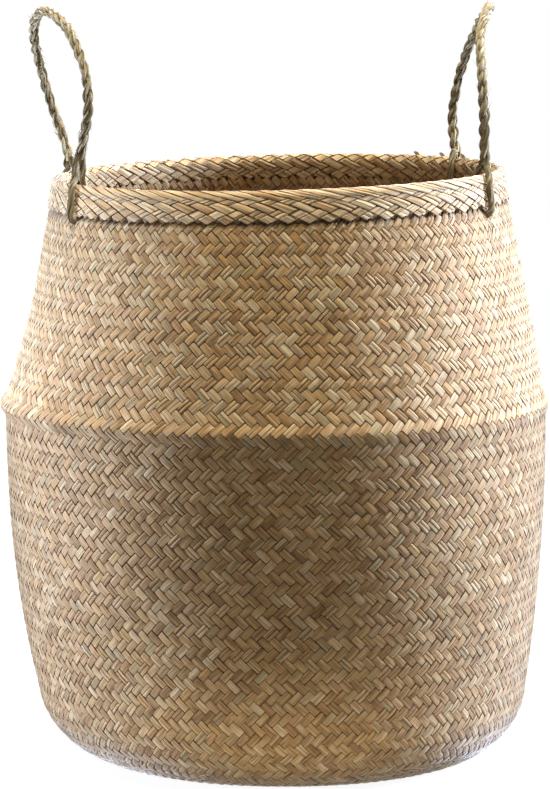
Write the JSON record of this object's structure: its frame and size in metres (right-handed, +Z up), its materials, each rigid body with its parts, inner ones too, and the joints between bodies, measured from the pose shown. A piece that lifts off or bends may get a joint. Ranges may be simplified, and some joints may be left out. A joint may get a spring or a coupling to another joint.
{
  "type": "belly basket",
  "caption": "Plaited seagrass belly basket with a flat base, swelling belly, a neck that folds down inside it, a pointed rim border and rope loop handles.",
  "frame": {"origin": "centre of the flat base, on the surface that the basket stands on", "axes": "+Z up through the mouth, -Y towards the front, +X towards the right handle"},
  "size_m": [0.4004, 0.4, 0.551],
  "materials": {
    "base_plait": "matte",
    "heel_plait": "matte",
    "belly_plait": "matte",
    "crease_plait": "matte",
    "neck_plait": "matte",
    "border_plait": "matte",
    "strand": "matte",
    "rope": "matte"
  },
  "bodies": {
    "belly": {"base_mat": "base_plait", "heel_wall": "heel_plait", "belly_wall": "belly_plait", "waist_crease": "crease_plait", "neck_wall": "neck_plait"},
    "rim": {"rim_border": "border_plait", "left_front_strand": "strand", "left_back_strand": "strand", "right_front_strand": "strand", "right_back_strand": "strand"},
    "left_handle": {"left_handle_rope": "rope"},
    "right_handle": {"right_handle_rope": "rope"}
  },
  "joints": [
    {"name": "neck_fold", "type": "slide", "parent": "belly", "child": "rim", "axis": [0, 0, 1], "range_m": [-0.257, 0], "deforming": ["neck_wall"]},
    {"name": "left_handle_swing", "type": "hinge", "parent": "rim", "child": "left_handle", "pos_m": [-0.14891, -0.01368, 0.4313], "axis": [0.0915, -0.9958, 0], "range_deg": [-75, 0]},
    {"name": "right_handle_swing", "type": "hinge", "parent": "rim", "child": "right_handle", "pos_m": [0.14164, 0.00991, 0.4313], "axis": [-0.0698, 0.9976, 0], "range_deg": [-75, 12]}
  ]
}
